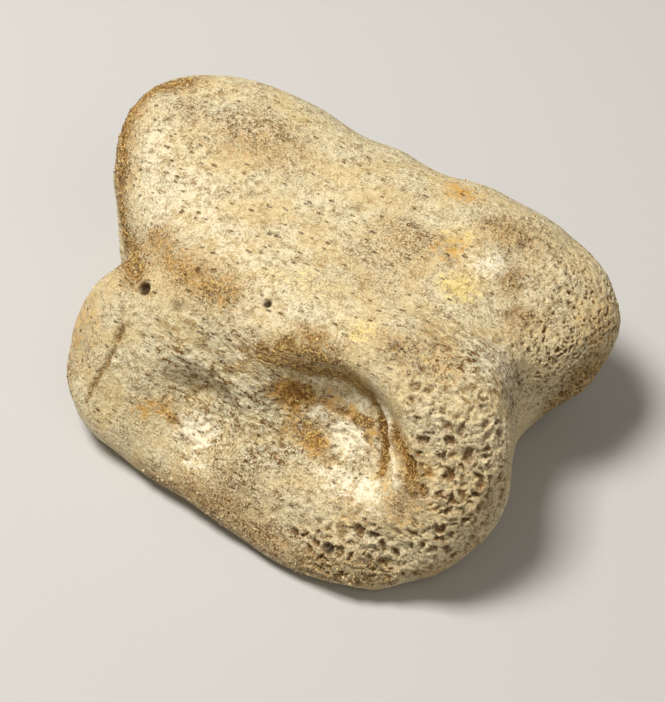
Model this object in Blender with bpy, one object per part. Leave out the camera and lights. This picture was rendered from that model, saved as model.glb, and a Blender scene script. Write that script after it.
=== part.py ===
"""Fossil toe bone of a plant-eating dinosaur, life size, one solid.

Metres, +Z up. The bone lies on its underside with its upper face up.
+X points to the far end of the toe, where two condyles flank a groove.
-X is the end that met the next bone, and -Y is the sloping side with
two ligament pits. The sizes below are in millimetres.
"""
import math

import bmesh
import bpy
import numpy as np
from mathutils import Vector, noise

MM = 0.001
TINY = 1e-9

# Colour and finish of the fossil bone
BONE_COLOUR = (0.50, 0.39, 0.22, 1.0)
BONE_ROUGHNESS = 0.85

# Lobes: centre, half sizes, turn about Z in degrees, squareness of section
SHAFT = ((0.5, 11.5, 15.0), (38.5, 22.0, 17.0), 0, 3.0)
NEAR_WALL = ((5.0, -12.0, 16.5), (28.0, 10.0, 17.0), 0, 2.8)
PROXIMAL_FAR = ((-26.5, 17.0, 22.5), (18.5, 14.5, 10.5), 3, 2.6)
PROXIMAL_FOOT = ((-22.5, 12.0, 9.0), (15.0, 14.0, 10.0), 0, 2.6)
PROXIMAL_NEAR = ((-14.5, -22.5, 14.5), (17.5, 14.0, 12.0), -18, 2.6)
CONDYLE_FAR = ((27.5, 18.0, 18.5), (18.0, 14.5, 11.0), -11, 2.5)
CONDYLE_NEAR = ((29.5, -14.0, 17.0), (15.0, 18.0, 17.5), 8, 2.5)
NEAR_FLANGE = ((6.5, -23.0, 8.0), (29.0, 13.5, 9.0), -10, 2.8)
LOBES = (
    SHAFT,
    NEAR_WALL,
    PROXIMAL_FAR,
    PROXIMAL_FOOT,
    PROXIMAL_NEAR,
    CONDYLE_FAR,
    CONDYLE_NEAR,
    NEAR_FLANGE,
)
LOBE_BLEND = 7.0

# The side with the pits slopes as one plane, from the upper edge to the base,
# and its -X end is bevelled by the rim of the joint with the next bone
SLOPE_ANGLE = 51.0
SLOPE_OFFSET = 30.0
SLOPE_BLEND = 8.0
BEVEL_ANGLE = 37.0
BEVEL_OFFSET = 38.0
BEVEL_BLEND = 2.0

# Hollows cut from the lobes: centre, half sizes, blend
TROCHLEAR_GROOVE = ((54.0, 1.0, 20.5), (12.0, 7.5, 30.0), 7.0)
PROXIMAL_CUP = ((-58.0, 12.0, 17.0), (16.0, 20.0, 11.0), 5.0)
PLANTAR_HOLLOW = ((1.0, 2.0, -6.0), (19.0, 60.0, 9.0), 4.0)
HOLLOWS = (TROCHLEAR_GROOVE, PROXIMAL_CUP, PLANTAR_HOLLOW)

# Worn patches that the bone rests on, all at one level
SOLE_LEVEL = 0.7
SOLE_BLEND = 1.0
SOLE_DEPTH = 0.25

# Pits where the ligaments were fixed: centre, direction down the side, half
# sizes along X and down, depth, and where the steep wall stands, in degrees
# from +X towards down
DOWN_SLOPE = (0.0, -0.63, -0.78)
DOWN_FAR_SIDE = (0.0, 0.1, -1.0)
PITS = (
    ((19.5, -20.5, 22.0), DOWN_SLOPE, (12.5, 10.0), 6.2, -40),
    ((-3.5, -26.0, 15.5), DOWN_SLOPE, (9.0, 8.0), 4.0, -50),
    ((29.0, 33.0, 18.0), DOWN_FAR_SIDE, (9.0, 7.0), 3.0, -20),
)

# Width of a pit's walls as shares of its half size, how much further the pit
# runs out on its gentle side, and how far from its plane it still reaches
STEEP_WALL = 0.45
GENTLE_WALL = 1.0
GENTLE_REACH = 1.4
PIT_REACH = 9.0

# Gentle swells and smaller knobs all over, and the ends where the thin outer
# layer has worn away: centre and half sizes of each worn patch
SWELL_SIZE = 10.0
SWELL_HEIGHT = 0.9
KNOB_SIZE = 4.6
KNOB_HEIGHT = 0.5
PLAIN_SHARE = 0.35
WORN_DEPTH = 0.5
WORN_EDGE = 0.35
WORN = (
    ((38.0, -21.0, 20.0), (12.0, 13.5, 18.0)),
    ((31.0, -31.0, 9.0), (19.0, 7.0, 10.0)),
    ((38.0, 16.0, 24.0), (16.0, 20.0, 16.0)),
    ((-44.5, 13.0, 18.0), (7.0, 17.0, 12.0)),
    ((-27.5, -27.0, 10.0), (6.0, 6.0, 8.0)),
)
SOLE_FADE = 2.5

# Skin of quads pushed out from the middle of the bone
CELLS = 31
HEART = (4.0, 0.0, 15.0)
STRETCH = (42.0, 30.0, 17.0)
REACH = 75.0
MARCH_STEPS = 90
HALVINGS = 20
PROBE_STEP = 0.05


def turned(points, degrees):
    """Points seen from axes turned about Z."""
    angle = math.radians(degrees)
    c, s = math.cos(angle), math.sin(angle)
    x, y, z = points.T
    return np.stack([c * x + s * y, c * y - s * x, z], axis=1)


def lobe_distance(points, centre, half, degrees=0, power=2.0):
    """Distance to a rounded lobe, below zero inside it."""
    half = np.array(half)
    ratio = np.abs(turned(points - np.array(centre), degrees)) / half
    size = (ratio ** power).sum(axis=1) ** (1 / power)
    slope = np.sqrt(((ratio ** (power - 1) / half) ** 2).sum(axis=1))
    slope = slope * np.maximum(size, TINY) ** (1 - power)
    return (size - 1) / np.maximum(slope, TINY)


def joined(a, b, blend):
    """Smooth union of two distances."""
    mix = np.clip(0.5 + 0.5 * (b - a) / blend, 0, 1)
    return b * (1 - mix) + a * mix - blend * mix * (1 - mix)


def trimmed(a, b, blend):
    """Smooth common part of two distances."""
    return -joined(-a, -b, blend)


def bone_distance(points):
    """Distance to the bone without its pits."""
    body = None
    for centre, half, degrees, power in LOBES:
        lobe = lobe_distance(points, centre, half, degrees, power)
        body = lobe if body is None else joined(body, lobe, LOBE_BLEND)
    angle = math.radians(SLOPE_ANGLE)
    slope = points[:, 2] * math.cos(angle) - points[:, 1] * math.sin(angle)
    body = trimmed(body, slope - SLOPE_OFFSET, SLOPE_BLEND)
    turn = math.radians(BEVEL_ANGLE)
    bevel = slope * math.cos(turn) - points[:, 0] * math.sin(turn)
    body = trimmed(body, bevel - BEVEL_OFFSET, BEVEL_BLEND)
    for centre, half, blend in HOLLOWS:
        body = trimmed(body, -lobe_distance(points, centre, half), blend)
    return trimmed(body, SOLE_LEVEL - points[:, 2], SOLE_BLEND)


def outward(points):
    """Unit vectors square to the bone's surface."""
    probes = np.eye(3) * PROBE_STEP
    rise = [bone_distance(points + probe) - bone_distance(points - probe) for probe in probes]
    rise = np.stack(rise, axis=1)
    return rise / np.linalg.norm(rise, axis=1)[:, None]


def pit_depths(points):
    """How far each point of the surface sinks into the ligament pits."""
    depths = np.zeros(len(points))
    for centre, down, half, depth, steep_side in PITS:
        away = points - np.array(centre)
        down = np.array(down) / np.linalg.norm(down)
        across = np.cross(down, (1.0, 0.0, 0.0))
        along_share = away[:, 0] / half[0]
        down_share = away @ down / half[1]
        angle = np.arctan2(down_share, along_share) - math.radians(steep_side)
        facing = (1 + np.cos(angle)) / 2
        ratio = np.hypot(along_share, down_share)
        ratio /= GENTLE_REACH + (1 - GENTLE_REACH) * facing
        wall = GENTLE_WALL + (STEEP_WALL - GENTLE_WALL) * facing
        rise = np.clip((1 - ratio) / wall, 0, 1)
        near = np.abs(away @ across) < PIT_REACH
        depths += near * depth * rise * rise * (3 - 2 * rise)
    return depths


def unevenness(points):
    """How far each point of the surface stands out from the plain form."""
    swell = np.array([noise.noise(Vector(point) / SWELL_SIZE) for point in points])
    knob = np.array([noise.noise(Vector(point) / KNOB_SIZE) for point in points])
    worn = np.zeros(len(points))
    for centre, half in WORN:
        ratio = np.linalg.norm((points - np.array(centre)) / half, axis=1)
        worn = np.maximum(worn, np.clip((1 - ratio) / WORN_EDGE, 0, 1))
    knob *= PLAIN_SHARE + (1 - PLAIN_SHARE) * worn
    rise = SWELL_HEIGHT * swell + KNOB_HEIGHT * knob - WORN_DEPTH * worn
    return rise * np.clip((points[:, 2] - SOLE_LEVEL) / SOLE_FADE, 0, 1)


def cube_ball():
    """A cube of even quads, blown up to a ball of unit radius."""
    bm = bmesh.new()
    bmesh.ops.create_cube(bm, size=2.0)
    bmesh.ops.subdivide_edges(bm, edges=bm.edges[:], cuts=CELLS - 1, use_grid_fill=True)
    for vert in bm.verts:
        for axis in range(3):
            vert.co[axis] = math.tan(vert.co[axis] * math.pi / 4)
        vert.co.normalize()
    return bm


def pushed_out(rays):
    """The outermost point of the bone along each ray from its heart."""
    heart = np.array(HEART)
    reaches = np.linspace(0, REACH, MARCH_STEPS)
    inside = np.array([bone_distance(heart + rays * reach) < 0 for reach in reaches])
    last = MARCH_STEPS - 1 - np.argmax(inside[::-1], axis=0)
    low = reaches[last]
    high = reaches[last + 1]
    for _ in range(HALVINGS):
        middle = (low + high) / 2
        within = bone_distance(heart + rays * middle[:, None]) < 0
        low = np.where(within, middle, low)
        high = np.where(within, high, middle)
    return heart + rays * low[:, None]


def fossil_bone():
    """Dull, cream to brown mineral bone."""
    material = bpy.data.materials.new("fossil_bone")
    material.use_nodes = True
    shader = material.node_tree.nodes["Principled BSDF"]
    shader.inputs["Base Color"].default_value = BONE_COLOUR
    shader.inputs["Roughness"].default_value = BONE_ROUGHNESS
    shader.inputs["Metallic"].default_value = 0.0
    return material


def toe_bone():
    """The whole bone, middled over the origin with its soles at z = 0."""
    bm = cube_ball()
    rays = np.array([vert.co[:] for vert in bm.verts]) * np.array(STRETCH)
    rays /= np.linalg.norm(rays, axis=1)[:, None]
    points = pushed_out(rays)
    points += outward(points) * (unevenness(points) - pit_depths(points))[:, None]
    points[points[:, 2] < SOLE_LEVEL + SOLE_DEPTH, 2] = SOLE_LEVEL
    low, high = points.min(axis=0), points.max(axis=0)
    points -= ((low[0] + high[0]) / 2, (low[1] + high[1]) / 2, SOLE_LEVEL)
    for vert, point in zip(bm.verts, points):
        vert.co = point * MM
    bmesh.ops.triangulate(bm, faces=bm.faces[:])
    mesh = bpy.data.meshes.new("toe_bone")
    bm.to_mesh(mesh)
    bm.free()
    mesh.shade_smooth()
    mesh.materials.append(fossil_bone())
    return bpy.data.objects.new("toe_bone", mesh)


def main():
    for thing in list(bpy.data.objects):
        bpy.data.objects.remove(thing)
    bone = toe_bone()
    bpy.context.collection.objects.link(bone)


main()
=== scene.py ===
import math

import bmesh
import bpy
import numpy as np
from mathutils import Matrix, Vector, noise


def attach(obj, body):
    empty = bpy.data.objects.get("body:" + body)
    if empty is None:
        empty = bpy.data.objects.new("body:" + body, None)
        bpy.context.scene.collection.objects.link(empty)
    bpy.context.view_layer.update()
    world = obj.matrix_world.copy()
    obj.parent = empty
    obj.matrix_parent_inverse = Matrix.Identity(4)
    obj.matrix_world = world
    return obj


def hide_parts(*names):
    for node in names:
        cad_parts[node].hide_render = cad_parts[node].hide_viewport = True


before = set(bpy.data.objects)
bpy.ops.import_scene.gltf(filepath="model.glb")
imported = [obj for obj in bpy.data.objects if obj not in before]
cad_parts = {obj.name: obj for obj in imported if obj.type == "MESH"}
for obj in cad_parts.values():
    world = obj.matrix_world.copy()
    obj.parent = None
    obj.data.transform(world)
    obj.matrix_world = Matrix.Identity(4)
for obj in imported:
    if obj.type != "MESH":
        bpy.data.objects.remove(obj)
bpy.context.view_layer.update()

# The bone's skin. The real one is a single foot bone, turned to stone, with its outer layer
# mostly whole. It starts as the measured solid, merged to one closed net of quads and smoothed,
# fine enough to carry pores a millimetre wide.
MM = 0.001
MERGE = 0.01 * MM
JOIN_ANGLE = math.radians(60)
SKIN_LEVELS = 3

net = bmesh.new()
net.from_mesh(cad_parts["toe_bone"].data)
bmesh.ops.remove_doubles(net, verts=net.verts[:], dist=MERGE)
bmesh.ops.join_triangles(
    net,
    faces=net.faces[:],
    angle_face_threshold=JOIN_ANGLE,
    angle_shape_threshold=JOIN_ANGLE,
)
skin_mesh = bpy.data.meshes.new("bone_skin")
skin_mesh.from_pydata(
    [vert.co[:] for vert in net.verts],
    [],
    [[vert.index for vert in face.verts] for face in net.faces],
)
net.free()
skin = bpy.data.objects.new("bone_skin", skin_mesh)
bpy.context.scene.collection.objects.link(skin)
smoother = skin.modifiers.new("smoother", "SUBSURF")
smoother.levels = SKIN_LEVELS
smoother.render_levels = SKIN_LEVELS


def as_made(piece):
    """Turns what a piece's modifiers make of it into its own plain mesh."""
    graph = bpy.context.evaluated_depsgraph_get()
    made = bpy.data.meshes.new_from_object(piece.evaluated_get(graph))
    piece.modifiers.clear()
    piece.data = made
    made.shade_smooth()
    return made


as_made(skin)
place = np.zeros(len(skin.data.vertices) * 3, np.float32)
skin.data.vertices.foreach_get("co", place)
place = place.reshape(-1, 3).astype(float) / MM


# Where the bone has grown, worn and stained in which way, and where light and shade are painted on
# it. Patches (centre, half sizes, width of edge) and lines on its surface are kept as numbers from 0
# to 1 on the skin, with ragged edges as stains and wear have. The seed makes these edges the same in
# every run.
EDGE_SEED = 7


def strayed_by(steps):
    """The skin's points, moved about by noise of these sizes and reaches."""
    points = place.copy()
    for size, reach in steps:
        points += reach * np.array([noise.noise_vector(Vector(point) / size) for point in place])
    return points


noise.seed_set(EDGE_SEED)
ragged = strayed_by(((6.0, 1.6), (1.6, 0.8)))
frayed = strayed_by(((1.3, 0.5),))


def eased(share):
    """A share from 0 to 1 that starts and ends gently."""
    share = np.clip(share, 0, 1)
    return share * share * (3 - 2 * share)


def patch(centre, half, edge=0.6):
    """1 in the middle of a patch with these half sizes, 0 outside it."""
    return eased((1 - np.linalg.norm((ragged - centre) / half, axis=1)) / edge)


def distance_to(path, points=None):
    """How far each point of the skin is from a line of straight runs."""
    points = place if points is None else points
    nearest = np.full(len(points), np.inf)
    for start, end in zip(path, path[1:]):
        start, run = np.array(start), np.subtract(end, start)
        share = np.clip((points - start) @ run / (run @ run), 0, 1)
        away = np.linalg.norm(points - start - share[:, None] * run, axis=1)
        nearest = np.minimum(nearest, away)
    return nearest


def streak(path, half_width, points=None):
    """1 along a line, 0 from half_width away."""
    return eased(1 - distance_to(path, points) / half_width)


def keep(name, values):
    """Stores a number for each point of the skin."""
    attribute = skin.data.attributes.new(name, "FLOAT", "POINT")
    attribute.data.foreach_set("value", values.astype(np.float32))


def most(shares):
    """The largest of several shares at each point."""
    return np.max(shares, axis=0)


# Lines that the eye follows on the bone
RIM = (
    (-22, -14, 25),
    (-28, -9, 22),
    (-32, -5, 19),
    (-36, 0, 22),
    (-39.5, 5, 27),
    (-43, 12, 28),
    (-42, 17.5, 29.5),
    (-38, 21, 31),
)
WHITE_RIDGE = (
    (-34, 5.5, 30),
    (-26, 0.5, 29),
    (-17, -2.5, 30),
    (-7, -6, 31),
    (4, -10, 31),
    (13, -11, 31),
)
FACET_CREASE = (
    (-24, -15.5, 23.5),
    (-21.5, -19, 22),
    (-20.3, -22, 19.6),
    (-20.5, -24.5, 17),
    (-22.6, -29.5, 9.6),
)
PIT_SHADOW = (
    (3.6, -17.3, 26.2),
    (8.2, -16.5, 26.1),
    (12.3, -14.7, 24.9),
    (16.7, -13.1, 24.2),
    (20.5, -12.3, 22),
)
PIT_SIDE = ((21.8, -12.7, 21.4), (24, -15.1, 19.1), (26.2, -18.4, 16.9), (27, -20.3, 16.7))
PIT_LIP = (
    (21.8, -12.7, 22.3),
    (24.7, -14.1, 20.5),
    (26.9, -17, 18.3),
    (29.8, -20.7, 18.8),
    (30.9, -22.2, 18.6),
)
INNER_RIDGE = ((10, -15.6, 22.2), (14.6, -13.5, 22), (18.3, -12.6, 20.8), (20.4, -13.2, 20))
OUTER_TROUGH = ((27, -16, 20.7), (29.1, -17.9, 21.4), (30.9, -19.5, 21.5), (32.3, -20.6, 20.4))
LEFT_ARC = (
    (-14.6, -25.9, 14.3),
    (-10.9, -23.3, 15),
    (-6.2, -22, 13.4),
    (-3.3, -22.4, 13.1),
    (1.2, -25.4, 11.1),
)
LOWER_RIM = (
    (-8, -33, 3),
    (7, -32.5, 5),
    (17, -33, 4.5),
    (25.5, -32.5, 5),
    (33, -30.5, 5),
    (39.5, -26, 7),
    (43.5, -19, 10),
)

still_whole = 1 - 0.85 * patch((32.5, -23.6, 17), (6, 5, 5), 0.8)
GROWTH = {
    "coarse_sponge": (
        patch((38, -19, 19), (12, 13.5, 17), 0.4) * still_whole,
        patch((31, -31, 8), (20, 8, 9), 0.5) * still_whole,
        patch((34, -13, 29), (13, 7, 8), 0.6) * 0.85,
        patch((24, -10, 32), (9, 5, 4), 0.8) * 0.6,
        patch((34, 18, 3), (11, 13, 6), 0.6),
        patch((-38, -1, 12), (6, 7, 9), 0.6) * 0.6,
    ),
    "fine_sponge": (
        patch((39, 16, 22), (14, 20, 15), 0.5),
        patch((25, 22, 31), (11, 8, 6), 0.8) * 0.8,
        patch((-45, 13, 17), (6, 17, 12), 0.5),
        patch((-2, -36, 3), (22, 6, 6), 0.8) * 0.5,
        patch((-20, 34, 10), (16, 6, 8), 0.6) * 0.6,
        patch((-13, -11.5, 29), (11, 4, 5), 0.9) * 0.5,
        streak(RIM, 4, ragged) * 0.5,
    ),
    "striated": (
        patch((36, -3.5, 26), (13, 7, 14), 0.6),
        patch((27, -2, 32), (9, 5, 5), 0.8) * 0.8,
    ),
    "rough": (
        patch((5, -22, 17), (26, 13, 16), 0.7) * 0.8,
        streak(RIM, 6, ragged),
        patch((-13, -11, 29), (12, 5, 6), 0.9),
        patch((-44, 12, 15), (9, 20, 16), 0.8) * 0.8,
        patch((0, 33, 12), (40, 8, 14), 0.9) * 0.5,
        patch((30, -7, 30), (16, 10, 12), 0.8) * 0.8,
        patch((26, 21, 31), (12, 9, 6), 0.9) * 0.7,
        patch((-28, 15, 33), (16, 12, 6), 1.0) * 0.6,
    ),
    "woven": (
        patch((-1, -20, 20), (24, 9, 12), 0.7),
        patch((36, -3.5, 26), (13, 8, 14), 0.6),
        patch((27, -4, 32), (9, 5, 5), 0.8),
        patch((0, 34, 12), (40, 8, 13), 0.9) * 0.7,
        patch((0, 0, 0), (46, 34, 6), 0.6) * 0.7,
    ),
    "facet": (patch((-27, -21, 15), (6.5, 10, 12), 0.35) * (place[:, 0] < -19.5),),
    "crust": (
        patch((-3.2, -25, 10.8), (5, 4.4, 4), 0.8),
        patch((19, -18, 16), (10, 7, 6), 0.8),
        patch((26, -24, 15), (6, 6, 5), 0.8) * 0.8,
        patch((29, 32, 18), (6, 4, 5), 0.6) * 0.8,
    ),
}
grown = {name: most(shares) for name, shares in GROWTH.items()}

STAIN_LIGHT_AND_SHADE = {
    "pale": (
        streak(WHITE_RIDGE, 7, ragged) * 0.4,
        streak(((-32.8, 6, 31), (-30, -0.3, 27.7), (-24, -5, 26.8)), 4, ragged),
        patch((-26, 1.5, 29), (10, 7, 6), 0.9) * 0.9,
        patch((25.6, 13.2, 30.8), (5, 6, 3), 0.9),
        # the pale patches in the groove, on the near end's top and between the pits are painted light, on
        # faces that turn from the lamp
        patch((36.5, -1, 29), (6, 7, 6), 0.9) * 1.3,
        patch((35.5, -1.6, 29), (8, 5, 8), 0.9) * 0.6,
        patch((9, -26, 13.5), (6, 5, 5), 0.9) * 0.5,
        patch((40, -14, 25), (6, 6, 7), 1.0) * 0.5,
    ),
    "tan": (
        patch((40, 14, 20), (17, 21, 17), 0.9) * 0.3,
        patch((41, -15, 18), (14, 15, 18), 0.9) * 0.25,
        # the tan patches low on the near side and under the bone are partly painted shade, darker towards
        # the bottom
        patch((14, -35, 5), (34, 9, 9), 0.8),
        patch((1, -17, 25), (7, 5, 5), 1.0) * 0.9,
        patch((12, 4, 31), (12, 8, 3), 1.0) * 0.35,
        patch((8, -30, 8), (9, 5, 5), 1.0),
        patch((-19, 15.5, 33), (13, 8, 4), 1.0) * 0.9,
        patch((-12, -12, 29), (15, 6, 6), 1.0) * 0.8,
        patch((17, -32, 6), (18, 5, 5), 0.9) * 0.6,
        patch((12, 10.5, 31.4), (9, 7, 3), 1.0) * 0.9,
        patch((12, 1, 31), (8, 5, 3), 1.0) * 0.4,
        patch((6, -29, 9), (9, 5, 5), 1.0),
        streak(RIM, 6, ragged),
        patch((0, 34, 12), (40, 8, 12), 0.9) * 0.7,
        patch((-44, 12, 15), (8, 20, 16), 0.9),
        patch((0, 0, 0), (46, 34, 6), 0.6),
    ),
    "olive": (
        patch((-2, -19, 22), (20, 6, 7), 0.9) * 0.2,
        patch((-12, -29, 10), (7, 5, 6), 0.9) * 0.6,
        patch((9, -27, 12), (12, 6, 6), 0.9) * 0.2,
        # the olive along the pit's shadow is painted shade
        streak(PIT_SHADOW, 5, ragged) * 0.4,
        patch((8, 34, 14), (24, 6, 9), 0.8) * 0.6,
    ),
    "yellow": (
        patch((23.5, 7, 30.4), (6, 5, 3), 1.0),
        patch((18, 15, 31.5), (5, 5, 3), 1.0) * 0.6,
        patch((17, -9, 31), (7, 4, 3), 1.0) * 0.8,
        patch((19.5, -17.5, 16.5), (5, 4, 3.6), 0.9) * 0.6,
        patch((3, -6, 31), (12, 5, 4), 1.0) * 0.35,
    ),
    "gold": (
        patch((-27, -21, 16), (7, 10, 11), 0.7) * 0.22,
        patch((33, -21, 20.5), (5, 5, 6), 0.9),
        patch((33, -23.4, 17), (8, 6, 6), 0.9) * 0.45,
        patch((26, -26.5, 13), (7, 4, 4), 0.9) * 0.65,
        patch((9.5, -17.4, 20), (7, 4, 5), 0.8) * 1.3,
        streak(((9, -18.6, 17.6), (12, -20, 14.6)), 3, ragged) * 0.6,
        streak(OUTER_TROUGH, 4, frayed) * 1.2,
        patch((22.5, -16.2, 17.3), (3.2, 3.2, 2.6), 0.8),
        streak(((14, -14.5, 19.2), (17.9, -14.3, 18.4), (21.8, -15.5, 18)), 2.6, ragged),
        patch((14.5, -19.2, 14.2), (4, 3.8, 3.4), 0.9) * 1.3,
        patch((-4.3, -26, 10.1), (1.6, 1.5, 1.5), 0.8),
        streak(((-12.5, -27, 12), (-10, -25.6, 12.4), (-7.2, -25.6, 11)), 2.6, ragged) * 0.9,
        patch((13.5, 24.5, 30), (5, 3.5, 2), 0.8) * 0.8,
        patch((18.8, 12.5, 31.2), (4, 4, 2), 0.8) * 0.6,
        streak(RIM, 4, ragged) * 0.7,
        patch((-44, 14, 16), (5, 13, 9), 0.7) * 0.5,
        patch((41, 17, 20), (9, 13, 10), 1.0) * 0.5,
        patch((27, -9, 31), (9, 5, 4), 1.0) * 0.55,
    ),
    "iron": (
        streak(((-24, -7, 26), (-18.6, -10, 28), (-14.5, -11.6, 28.9), (-6, -12.7, 29.5)), 4.5, ragged),
        patch((-33, 14, 32.5), (6, 5, 3), 1.0) * 0.3,
        patch((-21, 12, 32.6), (7, 4, 3), 1.0) * 0.4,
        patch((10.5, -13, 29.5), (6, 3, 3), 0.9),
        patch((22, -9.5, 31.8), (6, 4, 3), 1.0) * 0.8,
        patch((27, -6, 32), (7, 5, 3), 1.0) * 0.7,
        patch((25, 20.5, 31), (8, 6, 4), 0.9) * 0.8,
        patch((29, 13, 30.3), (4, 6, 4), 0.9) * 0.7,
        patch((34, 8, 28), (5, 5, 5), 1.0) * 0.6,
        patch((43, 12, 14), (7, 11, 9), 1.0) * 0.9,
        patch((33, -31, 6), (16, 6, 6), 0.9) * 0.8,
        patch((40, -18, 20), (8, 10, 12), 1.0) * 0.3,
        streak(RIM, 3, ragged) * 1.4,
        streak(((-34, -3.6, 17), (-33.5, -3, 21.4)), 3, ragged) * 1.3,
        streak(LOWER_RIM, 4.5, ragged) * 0.7,
        patch((-28.5, -26, 9), (4, 5, 5), 0.9) * 0.7,
        patch((-25, 33, 14), (10, 5, 7), 0.7) * 0.7,
        patch((5, 0, 0), (26, 22, 4), 0.9) * 0.6,
        patch((-45, 10, 22), (4, 9, 6), 0.7) * 0.6,
    ),
    "umber_and_shade": (
        # umber: brown stain on the large pit's upper wall with painted shade over it, and painted shade in
        # the facet's crease, along the bottom rim and low on the far end
        streak(PIT_SHADOW, 3.4, frayed) * 1.2,
        streak(FACET_CREASE, 1.2, frayed) * 0.8,
        streak(LOWER_RIM, 3, ragged) * 0.7,
        patch((43, 12, 12.5), (8, 12, 8), 0.8) * 1.9,
        patch((43.5, 13, 16.5), (6, 8, 5.5), 0.8) * 2.4,
        streak(((6, -15.8, 28), (9, -15, 28.4), (14.6, -14, 27.4), (19.1, -12.8, 23.9)), 3, ragged) * 1.2,
        patch((40, -26, 5), (7, 6, 4), 0.9) * 0.7,
    ),
    "chalk": (
        streak(INNER_RIDGE, 1.6, ragged) * 0.7,
        patch((-3.8, -25, 10.5), (5, 3.2, 2.6), 0.5),
        patch((-2, -29.2, 8.8), (4.4, 4, 3), 1.0) * 0.4,
        patch((19.2, -17, 15.9), (5.2, 4.6, 3.8), 0.6),
        patch((13, -16.4, 17.8), (4, 2, 1.6), 0.8),
        patch((26.2, -23.5, 15), (4.6, 3.6, 3), 0.5),
        patch((20.8, -23, 13.4), (4.4, 3, 2.6), 0.8) * 0.8,
        patch((27, -26.2, 13.6), (5, 2.6, 2.6), 1.0) * 0.5,
        patch((25.6, 13.2, 30.8), (3, 4, 3), 0.8) * 0.45,
        streak(PIT_LIP, 1.3, frayed) * 0.8,
        patch((29, 32.5, 17), (3.5, 3, 3), 0.7) * 0.8,
    ),
    "rust": (
        patch((9.8, -16.4, 20.6), (2.6, 1.9, 2.2), 0.6) * 1.6,
        patch((8.4, -17.8, 19.2), (2.4, 1.8, 2.2), 0.8),
        patch((13, -15.2, 19.6), (3, 1.4, 1.4), 0.8),
        patch((16, -14.4, 18.7), (2.6, 1.8, 1.5), 0.7) * 1.2,
        patch((20.6, -15, 18.2), (2.8, 2, 1.8), 0.7) * 1.2,
        patch((12.6, -17.9, 15.6), (2.2, 2, 2), 1.0),
        patch((17.5, -20.6, 13.6), (2.4, 2, 2), 1.0),
        streak(PIT_SIDE, 1.6, frayed) * 1.5,
        streak((*OUTER_TROUGH, (33.4, -21.8, 19.5)), 3, frayed) * 1.4,
        streak(((32.3, -20.6, 20.4), (33.4, -22.2, 19.1), (32.7, -23.8, 16.7)), 2.2, ragged) * 0.7,
        patch((-7.5, -25.6, 11), (1.8, 1.3, 1.3), 0.8),
        streak(RIM, 3.6, frayed) * 1.3,
        patch((30, 33, 19), (4, 3, 4), 0.7) * 0.7,
        patch((28.5, 13.5, 30.3), (3, 3.4, 2), 0.8),
        patch((32.4, 8.5, 29), (2.6, 2.6, 2), 0.8),
        patch((24, 21.5, 31), (5, 3, 2), 0.9) * 0.6,
    ),
}
stain_light_and_shade = {name: most(shares) for name, shares in STAIN_LIGHT_AND_SHADE.items()}
for name, shares in {**grown, **stain_light_and_shade}.items():
    keep(name, shares)
keep("spongy", np.maximum(grown["coarse_sponge"], 0.7 * grown["fine_sponge"]))
keep("brown_and_shade", most([stain_light_and_shade[name] for name in ("iron", "gold", "rust", "umber_and_shade")]))
keep(
    "speckled",
    most(
        (
            stain_light_and_shade["iron"],
            stain_light_and_shade["tan"],
            0.8 * stain_light_and_shade["rust"],
            0.8 * stain_light_and_shade["umber_and_shade"],
            0.6 * grown["striated"],
            grown["rough"] - 0.5 * grown["coarse_sponge"],
        )
    ),
)

SANDY = (
    streak(RIM, 3.5, ragged),
    streak(((-10, 28, 30), (4, 28.4, 28.5), (15, 27.5, 29), (24, 27, 29.5)), 2.5, ragged) * 0.8,
    streak(LOWER_RIM, 5, ragged) * 0.8,
    patch((-28, -26, 9), (5, 7, 8), 0.8),
    patch((43, 20, 20), (6, 10, 9), 0.9) * 0.5,
    grown["crust"] * 0.35,
    patch((0, 34, 10), (42, 8, 12), 0.9) * 0.3,
    0.02 * np.ones(len(place)),
)
CLEAR_OF_TABLE = 0.6
keep("sandy", most(SANDY) * eased(place[:, 2] - CLEAR_OF_TABLE))

# Single marks carved into the skin or standing up from it: vessel holes and shallow scars
# (place, radius, depth), the crease, the lip and ridges of the large pit, and the ropes of
# the rim
HOLES = (
    ((-19.3, -15.8, 25), 1.0, 1.3),
    ((0.8, -11.7, 30.3), 0.65, 1.0),
    ((-17, 7.9, 32.2), 0.4, 0.5),
    ((-6.9, 0.3, 30.7), 0.4, 0.6),
    ((-5.8, 0.5, 30.8), 0.4, 0.6),
    ((-5.6, -3.6, 31), 0.45, 0.5),
    ((24.6, -31.4, 8.3), 0.9, 0.8),
    ((-13.9, 5.3, 31.4), 0.9, 0.2),
    ((-14.4, -0.2, 30.3), 0.9, 0.25),
    ((1.8, 12, 31.3), 1.0, 0.25),
    ((-2.5, 5.7, 31.2), 0.9, 0.15),
    ((-12.6, -16.4, 25.8), 1.1, 0.3),
    ((12, 34, 17), 0.8, 1.0),
    ((-8, 33.5, 12), 0.6, 0.9),
)
ROPE_SPACING = 1.5
ROPE_HEIGHT = 0.25
FACET_GRAIN = 0.75
FACET_GRAIN_WAY = (0.78, -0.2, -0.15)
FACET_GRAIN_HEIGHT = 0.05

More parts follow.
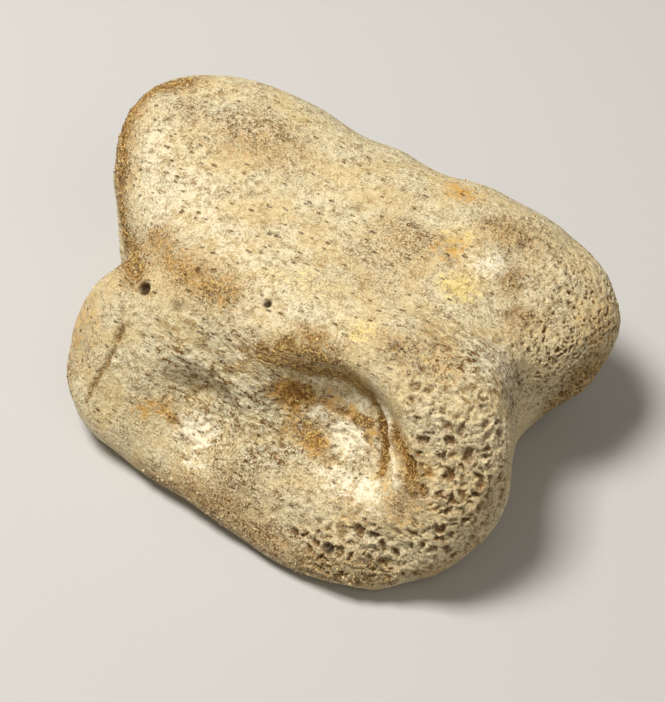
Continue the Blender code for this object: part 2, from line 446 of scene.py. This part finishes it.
carving = np.zeros(len(place))
holed = np.zeros(len(place))
for centre, radius, depth in HOLES:
    centre = place[np.argmin(np.linalg.norm(place - centre, axis=1))]
    away = np.linalg.norm(place - centre, axis=1) / radius
    carving -= depth * eased(1.4 - away)
    holed = np.maximum(holed, min(depth, 1) * eased(1.5 - away))
keep("hole", holed)
carving -= 0.6 * streak(FACET_CREASE, 1.1, frayed)
carving += 0.25 * streak([np.add(point, (1.4, 0, 0.3)) for point in FACET_CREASE], 1.4, frayed)
carving += 0.6 * streak(PIT_LIP, 1.0, frayed)
carving += 0.25 * streak(INNER_RIDGE, 1.3, ragged)
carving -= 0.7 * streak(PIT_SIDE, 1.1, frayed)
carving -= 0.5 * streak(OUTER_TROUGH, 1.3)
ropes = np.sin(2 * math.pi * distance_to(RIM, ragged) / ROPE_SPACING)
carving += ROPE_HEIGHT * ropes * streak(RIM, 4)
facet_grain = np.sin(2 * math.pi * (ragged @ np.array(FACET_GRAIN_WAY)) / FACET_GRAIN)
carving += FACET_GRAIN_HEIGHT * facet_grain * grown["facet"]
keep("carving", carving)

# Strands of colour follow these lines, at even distances from them
STRANDED = (
    ((-16, -17, 26), *PIT_SHADOW, *PIT_SIDE[1:], (26.5, -25, 14)),
    ((-22, -27, 13), *LEFT_ARC, (3, -31, 8)),
    RIM,
)
keep("strand", np.min([distance_to(path, ragged) for path in STRANDED], axis=0))
keep(
    "stranded",
    most(
        (
            streak(PIT_SHADOW, 5.5),
            streak(LEFT_ARC, 4.5) * 0.6,
            streak(RIM, 6),
            streak(OUTER_TROUGH, 2.5),
        )
    ),
)


# The relief that pores, wear and crust give the skin. Spongy bone is open cells with rounded
# walls between them, laid bare where the thin outer layer has worn off both ends; the rest is
# smooth bone with fine striae. All of it is sunk into or raised from the skin along its normal.
def fed(tree, node, feeds):
    """Feeds inputs of a node by values, by sockets or by what other nodes give."""
    for name, value in feeds.items():
        if isinstance(value, bpy.types.Node):
            value = next(socket for socket in value.outputs if socket.enabled)
        if isinstance(value, bpy.types.NodeSocket):
            tree.links.new(value, node.inputs[name])
        else:
            node.inputs[name].default_value = value
    return node


def add(tree, kind, feeds=None, **settings):
    """Adds a node with its settings and links."""
    node = tree.nodes.new(kind)
    for name, value in settings.items():
        setattr(node, name, value)
    return fed(tree, node, feeds or {})


def tree_with(name, sizes):
    """A Geometry Nodes tree with a mesh in and out, a material and named sizes."""
    tree = bpy.data.node_groups.new(name, "GeometryNodeTree")
    tree.interface.new_socket(name="Mesh", in_out="INPUT", socket_type="NodeSocketGeometry")
    tree.interface.new_socket(name="Mesh", in_out="OUTPUT", socket_type="NodeSocketGeometry")
    tree.interface.new_socket(name="Material", in_out="INPUT", socket_type="NodeSocketMaterial")
    for size in sizes:
        tree.interface.new_socket(name=size, in_out="INPUT", socket_type="NodeSocketFloat")
    return tree


def grow(piece, tree, material, sizes):
    """Puts a tree on a piece, with its material and sizes."""
    modifier = piece.modifiers.new(tree.name, "NODES")
    modifier.node_group = tree
    given = {"Material": material, **sizes}
    for socket in tree.interface.items_tree:
        if socket.in_out == "INPUT" and socket.name in given:
            modifier[socket.identifier] = given[socket.name]


RELIEF = {
    "Sponge Cell": 1.9,
    "Small Cell": 0.95,
    "Sponge Depth": 0.85,
    "Network Cell": 0.95,
    "Network Depth": 0.6,
    "Wall Height": 0.2,
    "Stria Spacing": 0.6,
    "Stria Depth": 0.22,
    "Roughness": 0.6,
    "Sugar Grain": 0.85,
    "Sugar Height": 0.2,
    "Crust Lump": 1.2,
    "Crust Height": 0.45,
}
DRIFT_SIZE = 2.0
DRIFT = 2.2
CRUMPLE_SIZE = 1.6667
STRIA_WAY = (0.14, 1.0, 0.14)
SMALL_SHARE = 0.6
PLAIN_ROUGHNESS = 0.12

relief = tree_with("bone_relief", RELIEF)
source = add(relief, "NodeGroupInput")
metres = add(relief, "GeometryNodeInputPosition")
spot = add(relief, "ShaderNodeVectorMath", {0: metres, "Scale": 1 / MM}, operation="SCALE")
height = add(relief, "ShaderNodeSeparateXYZ", {0: spot}).outputs["Z"]
mask = {
    name: add(relief, "GeometryNodeInputNamedAttribute", {"Name": name}, data_type="FLOAT")
    for name in ("coarse_sponge", "fine_sponge", "striated", "rough", "crust", "carving")
}
per_mm = {
    name: add(relief, "ShaderNodeMath", {0: 1.0, 1: source.outputs[name]}, operation="DIVIDE")
    for name in ("Sponge Cell", "Small Cell", "Network Cell", "Stria Spacing", "Sugar Grain", "Crust Lump")
}
drift = add(relief, "ShaderNodeTexNoise", {"Vector": spot, "Scale": 1 / DRIFT_SIZE, "Detail": 3.0})
drift = add(relief, "ShaderNodeVectorMath", {0: drift.outputs[1], 1: (0.5, 0.5, 0.5)}, operation="SUBTRACT")
drift = add(relief, "ShaderNodeVectorMath", {0: drift, "Scale": DRIFT}, operation="SCALE")
strayed = add(relief, "ShaderNodeVectorMath", {0: spot, 1: drift}, operation="ADD")


def cells(size_name, wall_cream_and_highlight, open_from, open_to):
    """How deep each open cell is, from 0 on its walls to 1; not every cell has opened."""
    feeds = {"Vector": strayed, "Scale": per_mm[size_name], "Randomness": 1.0}
    edge = add(relief, "ShaderNodeTexVoronoi", feeds, feature="DISTANCE_TO_EDGE")
    chance = add(relief, "ShaderNodeTexVoronoi", feeds, feature="F1").outputs["Color"]
    chance = add(relief, "ShaderNodeSeparateXYZ", {0: chance}).outputs["X"]
    bowl = add(
        relief,
        "ShaderNodeMapRange",
        {"Value": edge, "From Min": wall_cream_and_highlight, "From Max": wall_cream_and_highlight + 0.26},
        interpolation_type="SMOOTHSTEP",
    )
    opened = add(
        relief,
        "ShaderNodeMapRange",
        {"Value": chance, "From Min": open_from, "From Max": open_to, "To Min": 0.12},
    )
    return add(relief, "ShaderNodeMath", {0: bowl, 1: opened}, operation="MULTIPLY")


# large cells with smaller ones between them, finer cells elsewhere, and furrows between fibres
large = cells("Sponge Cell", 0.08, 0.05, 0.6)
small = cells("Small Cell", 0.08, 0.2, 0.9)
small = add(relief, "ShaderNodeMath", {0: small, 1: SMALL_SHARE}, operation="MULTIPLY")
coarse = add(relief, "ShaderNodeMath", {0: large, 1: small}, operation="MAXIMUM")
coarse = add(relief, "ShaderNodeMath", {0: coarse, 1: mask["coarse_sponge"]}, operation="MULTIPLY")
fine = cells("Network Cell", 0.06, 0.1, 0.7)
fine = add(relief, "ShaderNodeMath", {0: fine, 1: mask["fine_sponge"]}, operation="MULTIPLY")
stretched = add(relief, "ShaderNodeVectorMath", {0: strayed, 1: STRIA_WAY}, operation="MULTIPLY")
stria = add(
    relief,
    "ShaderNodeTexNoise",
    {"Vector": stretched, "Scale": per_mm["Stria Spacing"], "Detail": 1.0},
)
stria = add(relief, "ShaderNodeMapRange", {"Value": stria, "From Min": 0.35, "From Max": 0.6})
furrow = add(relief, "ShaderNodeMath", {0: stria, 1: mask["striated"]}, operation="MULTIPLY")
sink = 0.0
for part, depth in ((coarse, "Sponge Depth"), (fine, "Network Depth"), (furrow, "Stria Depth")):
    feeds = {0: part, 1: source.outputs[depth], 2: sink}
    sink = add(relief, "ShaderNodeMath", feeds, operation="MULTIPLY_ADD")

# crumpled and sugary wear, raised cell walls and lumps of crust
wear = PLAIN_ROUGHNESS
for name, share in (("rough", 1.0), ("coarse_sponge", 1.0), ("crust", 1.0), ("fine_sponge", 0.5)):
    wear = add(relief, "ShaderNodeMath", {0: mask[name], 1: share, 2: wear}, operation="MULTIPLY_ADD")
crumpled = add(
    relief,
    "ShaderNodeTexNoise",
    {"Vector": strayed, "Scale": 1 / CRUMPLE_SIZE, "Detail": 5.0, "Roughness": 0.65},
)
crumpled = add(relief, "ShaderNodeMath", {0: crumpled, 1: 2.0, 2: -1.0}, operation="MULTIPLY_ADD")
sugar = add(relief, "ShaderNodeTexVoronoi", {"Vector": spot, "Scale": per_mm["Sugar Grain"]}, feature="F1")
sugar = add(relief, "ShaderNodeMath", {0: 0.5, 1: sugar}, operation="SUBTRACT")
walls = add(relief, "ShaderNodeMath", {0: mask["coarse_sponge"], 1: mask["fine_sponge"]}, operation="ADD")
lump = add(
    relief,
    "ShaderNodeTexVoronoi",
    {"Vector": strayed, "Scale": per_mm["Crust Lump"]},
    feature="SMOOTH_F1",
)
lump = add(relief, "ShaderNodeMapRange", {"Value": lump, "From Min": 0.6, "From Max": 0.1})
rise = mask["carving"]
for part, share, size in (
    (crumpled, wear, "Roughness"),
    (sugar, wear, "Sugar Height"),
    (walls, 1.0, "Wall Height"),
    (lump, mask["crust"], "Crust Height"),
):
    part = add(relief, "ShaderNodeMath", {0: part, 1: share}, operation="MULTIPLY")
    feeds = {0: part, 1: source.outputs[size], 2: rise}
    rise = add(relief, "ShaderNodeMath", feeds, operation="MULTIPLY_ADD")
rise = add(relief, "ShaderNodeMath", {0: rise, 1: sink}, operation="SUBTRACT")
off_table = add(
    relief,
    "ShaderNodeMapRange",
    {"Value": height, "From Min": 0.3, "From Max": 2.2},
    interpolation_type="SMOOTHSTEP",
)
rise = add(relief, "ShaderNodeMath", {0: rise, 1: off_table}, operation="MULTIPLY")
rise = add(relief, "ShaderNodeMath", {0: rise, 1: MM}, operation="MULTIPLY")
normal = add(relief, "GeometryNodeInputNormal")
offset = add(relief, "ShaderNodeVectorMath", {0: normal, "Scale": rise}, operation="SCALE")

# what lies deep is kept on the skin too, to be coloured dark there as dirt and painted shade
hollow = add(relief, "ShaderNodeMath", {0: mask["carving"], 1: -0.9}, operation="MULTIPLY", use_clamp=True)
for part, share in ((coarse, 0.95), (fine, 0.85), (furrow, 0.25)):
    hollow = add(relief, "ShaderNodeMath", {0: part, 1: share, 2: hollow}, operation="MULTIPLY_ADD")
kept = add(
    relief,
    "GeometryNodeStoreNamedAttribute",
    {"Geometry": source.outputs["Mesh"], "Name": "hollow", "Value": hollow},
    data_type="FLOAT",
    domain="POINT",
)
moved = add(relief, "GeometryNodeSetPosition", {"Geometry": kept, "Offset": offset})
whole = add(relief, "GeometryNodeRealizeInstances", {"Geometry": moved})
dressed = add(
    relief,
    "GeometryNodeSetMaterial",
    {"Geometry": whole, "Material": source.outputs["Material"]},
)
add(relief, "NodeGroupOutput", {"Mesh": dressed})


# Fossil bone: calcium phosphate filled with minerals from the ground. Dull cream, speckled and
# stained by iron to tan, gold and rust, with chalky lime in the pits, dark pores, and dirt and
# painted shade in its hollows; some of its patches and pale flecks are partly painted light and shade.
# It is dull all over, and its pale chalky grains are the dullest.
def linear(code, alpha=1.0):
    """An sRGB hex colour as the linear values that a shader takes."""
    parts = [int(code[i : i + 2], 16) / 255 for i in (1, 3, 5)]
    return (*[p / 12.92 if p <= 0.04045 else ((p + 0.055) / 1.055) ** 2.4 for p in parts], alpha)


# sockets of a Mix node: its share, then its two numbers or its two colours
SHARE, FIRST, SECOND, BELOW, ABOVE = 0, 2, 3, 6, 7

# size of each pattern, its detail and roughness, and the way it is drawn out
EVEN = (1.0, 1.0, 1.0)
PATTERNS = {
    "blotch": (6.25, 4.0, 0.6, EVEN),
    "mottle": (1.6667, 5.0, 0.7, EVEN),
    "clump": (1.0526, 3.0, 0.6, EVEN),
    "grit": (0.3333, 4.0, 0.75, EVEN),
    "weave": (0.625, 5.0, 0.72, (0.22, 1.0, 0.8)),
}
STRAND_SPACING = 0.5512
STRAND_WANDER = 9.0
STRAND_SHARE = 0.042

bone = bpy.data.materials.new("fossil_bone")
bone.use_nodes = True
shade = bone.node_tree
shader = shade.nodes["Principled BSDF"]
where = add(shade, "ShaderNodeTexCoord").outputs["Object"]
where = add(shade, "ShaderNodeVectorMath", {0: where, "Scale": 1 / MM}, operation="SCALE")
pattern = {}
for name, (size, detail, roughness, drawn_out) in PATTERNS.items():
    along = add(shade, "ShaderNodeVectorMath", {0: where, 1: drawn_out}, operation="MULTIPLY")
    feeds = {"Vector": along, "Scale": 1 / size, "Detail": detail, "Roughness": roughness}
    pattern[name] = add(shade, "ShaderNodeTexNoise", feeds)
own = {
    name: add(shade, "ShaderNodeAttribute", attribute_name=name).outputs["Fac"]
    for name in (*STAIN_LIGHT_AND_SHADE, "woven", "strand", "stranded", "speckled", "brown_and_shade", "spongy", "hollow", "hole")
}

# light and dark grains: even grit, threads where the bone is woven, and strands by the pits
turns = add(shade, "ShaderNodeMath", {0: pattern["mottle"], 1: STRAND_WANDER}, operation="MULTIPLY")
turns = add(
    shade,
    "ShaderNodeMath",
    {0: own["strand"], 1: 2 * math.pi / STRAND_SPACING, 2: turns},
    operation="MULTIPLY_ADD",
)
strand = add(shade, "ShaderNodeMath", {0: turns}, operation="SINE")
strand = add(shade, "ShaderNodeMath", {0: strand, 1: own["stranded"]}, operation="MULTIPLY")
gritty = add(shade, "ShaderNodeMapRange", {"Value": own["woven"], "To Min": 0.85, "To Max": 0.35})
tone = add(shade, "ShaderNodeMix", {SHARE: gritty, FIRST: pattern["weave"], SECOND: pattern["grit"]})
tone = add(shade, "ShaderNodeMix", {SHARE: 0.25, FIRST: tone, SECOND: pattern["clump"]})
tone = add(shade, "ShaderNodeMath", {0: strand, 1: STRAND_SHARE, 2: tone}, operation="MULTIPLY_ADD")
tone = add(shade, "ShaderNodeMapRange", {"Value": tone, "From Min": 0.455, "From Max": 0.545})
clumped = add(
    shade,
    "ShaderNodeMapRange",
    {"Value": pattern["clump"], "From Min": 0.42, "From Max": 0.58},
)
patchy = add(shade, "ShaderNodeMix", {SHARE: 0.4, FIRST: clumped, SECOND: tone})

# the ground colour, then each stain, some of them partly painted light and shade, from pale to dark:
# its colour, how grainy its edge is, at which share of a patch it starts and is full, and how
# strongly it covers
LAYERS = (
    ("pale", "#f1e5c6", 1.1, 0.1, 0.9, 0.8),
    ("tan", "#c59d58", 1.2, 0.15, 1.0, 0.7),
    ("olive", "#b49d60", 0.8, 0.1, 0.8, 0.6),
    ("yellow", "#efd67a", 0.8, 0.2, 0.8, 0.85),
    ("gold", "#d9a03a", 1.3, 0.2, 0.85, 0.85),
    ("iron", "#b6803a", 2.0, 0.5, 1.1, 0.85),
    ("umber_and_shade", "#7a5314", 1.4, 0.25, 1.0, 0.88),
    ("chalk", "#fbf3da", 1.6, 0.1, 0.85, 0.95),
    ("rust", "#83520f", 1.6, 0.25, 0.9, 0.92),
)
blotched = add(
    shade,
    "ShaderNodeMapRange",
    {"Value": pattern["blotch"], "From Min": 0.4, "From Max": 0.62},
)
mottled = add(
    shade,
    "ShaderNodeMapRange",
    {"Value": pattern["mottle"], "From Min": 0.5, "From Max": 0.68, "To Max": 0.6},
)
colour = linear("#dac592")
for share, code in ((blotched, "#e9deb8"), (mottled, "#bd9e62")):
    feeds = {SHARE: share, BELOW: colour, ABOVE: linear(code)}
    colour = add(shade, "ShaderNodeMix", feeds, data_type="RGBA")
grainy = add(shade, "ShaderNodeMath", {0: patchy, 1: 0.5}, operation="SUBTRACT")
for name, code, grain, start, full, strength in LAYERS:
    there = add(shade, "ShaderNodeMath", {0: grainy, 1: grain, 2: own[name]}, operation="MULTIPLY_ADD")
    feeds = {"Value": there, "From Min": start, "From Max": full, "To Max": strength}
    there = add(shade, "ShaderNodeMapRange", feeds)
    inside = add(shade, "ShaderNodeMath", {0: own[name], 1: 5.0}, operation="MULTIPLY", use_clamp=True)
    there = add(shade, "ShaderNodeMath", {0: there, 1: inside}, operation="MULTIPLY")
    feeds = {SHARE: there, BELOW: colour, ABOVE: linear(code)}
    colour = add(shade, "ShaderNodeMix", feeds, data_type="RGBA")

# blood-vessel pores of the smooth faces, drawn out along the bone, round pin-holes, and a few
# wider stained rings: spacing, drawn out, channel of chance, how rare, and the least radius, the
# widest and the softness of the edge as shares of the spacing
PORES = {
    "vessel": (0.9524, (0.4, 1.0, 1.0), "X", 0.0, 0.06, 0.3, 0.08),
    "pin": (0.8333, EVEN, "Y", 0.6, 0.0, 0.24, 0.12),
    "ring": (2.7778, EVEN, "X", 0.45, 0.0, 0.27, 0.1),
}
pore = {}
for name, (spacing, drawn_out, channel, rare, narrowest, widest, softness) in PORES.items():
    along = add(shade, "ShaderNodeVectorMath", {0: where, 1: drawn_out}, operation="MULTIPLY")
    cell = add(shade, "ShaderNodeTexVoronoi", {"Vector": along, "Scale": 1 / spacing, "Randomness": 1.0})
    chance = add(shade, "ShaderNodeSeparateXYZ", {0: cell.outputs["Color"]}).outputs[channel]
    feeds = {"Value": chance, "From Min": rare, "To Min": narrowest, "To Max": widest}
    radius = add(shade, "ShaderNodeMapRange", feeds)
    inside = add(shade, "ShaderNodeMath", {0: radius, 1: cell.outputs["Distance"]}, operation="SUBTRACT")
    pore[name] = add(shade, "ShaderNodeMapRange", {"Value": inside, "From Max": softness})
ring = add(shade, "ShaderNodeMath", {0: pore["ring"], 1: patchy}, operation="MULTIPLY")
pin = add(shade, "ShaderNodeMath", {0: pore["pin"], 1: 0.7}, operation="MULTIPLY")
pores = add(shade, "ShaderNodeMath", {0: pore["vessel"], 1: pin}, operation="MAXIMUM")
dark_pores = add(shade, "ShaderNodeMath", {0: pores, 1: 0.85}, operation="MULTIPLY")

# cream walls between the open cells with painted highlight on them, dark pores, and dirt and painted shade
# deep in the cells
wall_cream_and_highlight = add(shade, "ShaderNodeMapRange", {"Value": own["hollow"], "From Min": 0.25, "From Max": 0.0})
wall_cream_and_highlight = add(shade, "ShaderNodeMath", {0: wall_cream_and_highlight, 1: own["spongy"]}, operation="MULTIPLY")
wall_cream_and_highlight = add(shade, "ShaderNodeMath", {0: wall_cream_and_highlight, 1: 0.65}, operation="MULTIPLY")
hollow_dirt_and_shade = add(
    shade,
    "ShaderNodeMapRange",
    {"Value": own["hollow"], "From Min": 0.12, "From Max": 0.7, "To Max": 0.9},
)
for share, code in ((ring, "#8a6830"), (dark_pores, "#553d18"), (wall_cream_and_highlight, "#f3e3b8"), (hollow_dirt_and_shade, "#76501a")):
    feeds = {SHARE: share, BELOW: colour, ABOVE: linear(code)}
    colour = add(shade, "ShaderNodeMix", feeds, data_type="RGBA")

# dark and pale flecks, the pale ones partly painted glints, most of them where the bone is worn
# or brown, few on the chalk: a share, the range that it is read over, and how many flecks its
# start and its end give
flecked = 1.0
for share, start, end, at_start, at_end in (
    (own["chalk"], 0.2, 0.9, 1.0, 0.45),
    (pattern["mottle"], 0.36, 0.62, 0.45, 1.15),
    (pattern["blotch"], 0.4, 0.6, 0.75, 1.1),
    (own["speckled"], 0.0, 0.8, 0.6, 1.15),
):
    feeds = {"Value": share, "From Min": start, "From Max": end, "To Min": at_start, "To Max": at_end}
    share = add(shade, "ShaderNodeMapRange", feeds)
    flecked = add(shade, "ShaderNodeMath", {0: share, 1: flecked}, operation="MULTIPLY")
feeds = {SHARE: own["brown_and_shade"], BELOW: linear("#fff4d2"), ABOVE: linear("#efcd80")}
pale_grain_and_glint = add(shade, "ShaderNodeMix", feeds, data_type="RGBA")
for start, end, strength, grain in ((0.45, 0.0, 0.95, linear("#7e521a")), (0.5, 1.0, 0.85, pale_grain_and_glint)):
    feeds = {"Value": tone, "From Min": start, "From Max": end, "To Max": strength}
    fleck = add(shade, "ShaderNodeMapRange", feeds)
    fleck = add(shade, "ShaderNodeMath", {0: fleck, 1: flecked}, operation="MULTIPLY")
    colour = add(shade, "ShaderNodeMix", {SHARE: fleck, BELOW: colour, ABOVE: grain}, data_type="RGBA")
hole = add(shade, "ShaderNodeMath", {0: own["hole"], 1: 0.9}, operation="MULTIPLY")
colour = add(
    shade,
    "ShaderNodeMix",
    {SHARE: hole, BELOW: colour, ABOVE: linear("#3c2a10")},
    data_type="RGBA",
)

# grains and pores also dent the surface, and pale grains shine a little less
rough = add(shade, "ShaderNodeMapRange", {"Value": tone, "To Min": 0.45, "To Max": 0.75})
dent = add(shade, "ShaderNodeMath", {0: tone, 1: 0.06}, operation="MULTIPLY")
dent = add(shade, "ShaderNodeMath", {0: pattern["mottle"], 1: 0.6, 2: dent}, operation="MULTIPLY_ADD")
dent = add(shade, "ShaderNodeMath", {0: dent, 1: flecked}, operation="MULTIPLY")
dent = add(shade, "ShaderNodeMath", {0: pores, 1: -0.15, 2: dent}, operation="MULTIPLY_ADD")
bump = add(shade, "ShaderNodeBump", {"Height": dent, "Strength": 1.0, "Distance": MM})
fed(shade, shader, {"Base Color": colour, "Roughness": rough, "Specular IOR Level": 0.35, "Normal": bump})

TRIANGLES = 190000
grow(skin, relief, bone, RELIEF)
thinner = skin.modifiers.new("thinner", "DECIMATE")
thinner.ratio = TRIANGLES / (2 * len(skin.data.polygons))
thinner.use_collapse_triangulate = True
as_made(skin)
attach(skin, "root")
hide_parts("toe_bone")


# Grains of the sand that the bone lay in, still stuck to its rims and in its pits. Each is
# quartz, under a millimetre across, rounded by water, and is scattered by chance. It is glassy
# inside but frosted, so it shines only a little more than the bone.
SAND = {"Grain Radius": 0.26 * MM, "Spacing": 0.7 * MM, "Density": 260000.0}
TINT_SIZE = 1.1111 * MM
FULL_TURN = 2 * math.pi

sand_tree = tree_with("sand", SAND)
bed = add(sand_tree, "NodeGroupInput")
sandy = add(sand_tree, "GeometryNodeInputNamedAttribute", {"Name": "sandy"}, data_type="FLOAT")
scattered = add(
    sand_tree,
    "GeometryNodeDistributePointsOnFaces",
    {
        "Mesh": bed.outputs["Mesh"],
        "Distance Min": bed.outputs["Spacing"],
        "Density Max": bed.outputs["Density"],
        "Density Factor": sandy,
        "Seed": 5,
    },
    distribute_method="POISSON",
)
ball = add(
    sand_tree,
    "GeometryNodeMeshIcoSphere",
    {"Radius": bed.outputs["Grain Radius"], "Subdivisions": 1},
)
turn = add(
    sand_tree,
    "FunctionNodeRandomValue",
    {"Max": (FULL_TURN, FULL_TURN, FULL_TURN), "Seed": 7},
    data_type="FLOAT_VECTOR",
)
girth = add(
    sand_tree,
    "FunctionNodeRandomValue",
    {"Min": (0.35, 0.35, 0.3), "Max": (1.7, 1.4, 1.1), "Seed": 9},
    data_type="FLOAT_VECTOR",
)
stuck = add(
    sand_tree,
    "GeometryNodeInstanceOnPoints",
    {"Points": scattered, "Instance": ball, "Rotation": turn, "Scale": girth},
)
real = add(sand_tree, "GeometryNodeRealizeInstances", {"Geometry": stuck})
coated = add(
    sand_tree,
    "GeometryNodeSetMaterial",
    {"Geometry": real, "Material": bed.outputs["Material"]},
)
add(sand_tree, "NodeGroupOutput", {"Mesh": coated})

quartz = bpy.data.materials.new("quartz_sand")
quartz.use_nodes = True
shade = quartz.node_tree
where = add(shade, "ShaderNodeTexCoord").outputs["Object"]
tint = add(shade, "ShaderNodeTexNoise", {"Vector": where, "Scale": 1 / TINT_SIZE, "Detail": 1.0})
tint = add(shade, "ShaderNodeMapRange", {"Value": tint, "From Min": 0.35, "From Max": 0.55})
feeds = {SHARE: tint, BELOW: linear("#9a7238"), ABOVE: linear("#ead9ae")}
tint = add(shade, "ShaderNodeMix", feeds, data_type="RGBA")
fed(shade, shade.nodes["Principled BSDF"], {"Base Color": tint, "Roughness": 0.45})

sand = bpy.data.objects.new("sand_grains", skin.data.copy())
bpy.context.scene.collection.objects.link(sand)
grow(sand, sand_tree, quartz, SAND)
as_made(sand)
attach(sand, "root")


# The table that the bone lies on. A plain pale card, matt and level, which isn't part of the
# object.
TABLE_HALF = 1500 * MM

table_mesh = bpy.data.meshes.new("table")
table_mesh.from_pydata(
    [(x * TABLE_HALF, y * TABLE_HALF, 0) for x, y in ((-1, -1), (1, -1), (1, 1), (-1, 1))],
    [],
    [(0, 1, 2, 3)],
)
table = bpy.data.objects.new("table", table_mesh)
bpy.context.scene.collection.objects.link(table)
card = bpy.data.materials.new("pale_card")
card.use_nodes = True
card_shader = card.node_tree.nodes["Principled BSDF"]
fed(card.node_tree, card_shader, {"Base Color": linear("#c6c6c6"), "Roughness": 0.9})
table_mesh.materials.append(card)


# Camera and light. The camera stands at the photograph's angle; a soft lamp high on the left
# gives the shadows, and a larger weak one by the camera and a dim room fill them.
AZIMUTH = math.radians(33)
ELEVATION = math.radians(50)
TARGET = Vector((6.372, -2.201, 13.3)) * MM
DISTANCE = 320 * MM
LENS = 103.38
NEAREST = 10 * MM

back = Vector(
    (
        math.sin(AZIMUTH) * math.cos(ELEVATION),
        -math.cos(AZIMUTH) * math.cos(ELEVATION),
        math.sin(ELEVATION),
    )
)
right = Vector((math.cos(AZIMUTH), math.sin(AZIMUTH), 0))
up = back.cross(right)
camera = bpy.data.objects.new("camera", bpy.data.cameras.new("camera"))
bpy.context.scene.collection.objects.link(camera)
camera.data.lens = LENS
camera.data.clip_start = NEAREST
camera.location = TARGET + back * DISTANCE
camera.rotation_mode = "QUATERNION"
camera.rotation_quaternion = (-back).to_track_quat("-Z", "Y")
bpy.context.scene.camera = camera

# name, way towards it, distance and size in metres, watts, colour
LAMPS = (
    ("key", Vector((-0.34, -0.1, 0.93)), 0.6, 0.2, 4.15, "#fffaf2"),
    ("fill", 0.5 * right + 0.1 * up + 1.0 * back, 0.7, 0.6, 0.75, "#fff6e8"),
)
for name, towards, distance, size, power, code in LAMPS:
    lamp = bpy.data.objects.new(name, bpy.data.lights.new(name, "AREA"))
    bpy.context.scene.collection.objects.link(lamp)
    lamp.data.size = size
    lamp.data.energy = power
    lamp.data.color = linear(code)[:3]
    lamp.location = TARGET + towards.normalized() * distance
    lamp.rotation_mode = "QUATERNION"
    lamp.rotation_quaternion = (-towards).to_track_quat("-Z", "Y")
studio = bpy.data.worlds.new("studio")
studio.use_nodes = True
air = studio.node_tree.nodes["Background"]
fed(studio.node_tree, air, {"Color": linear("#f2ebde"), "Strength": 0.18})
bpy.context.scene.world = studio
bpy.context.scene.view_settings.view_transform = "Standard"
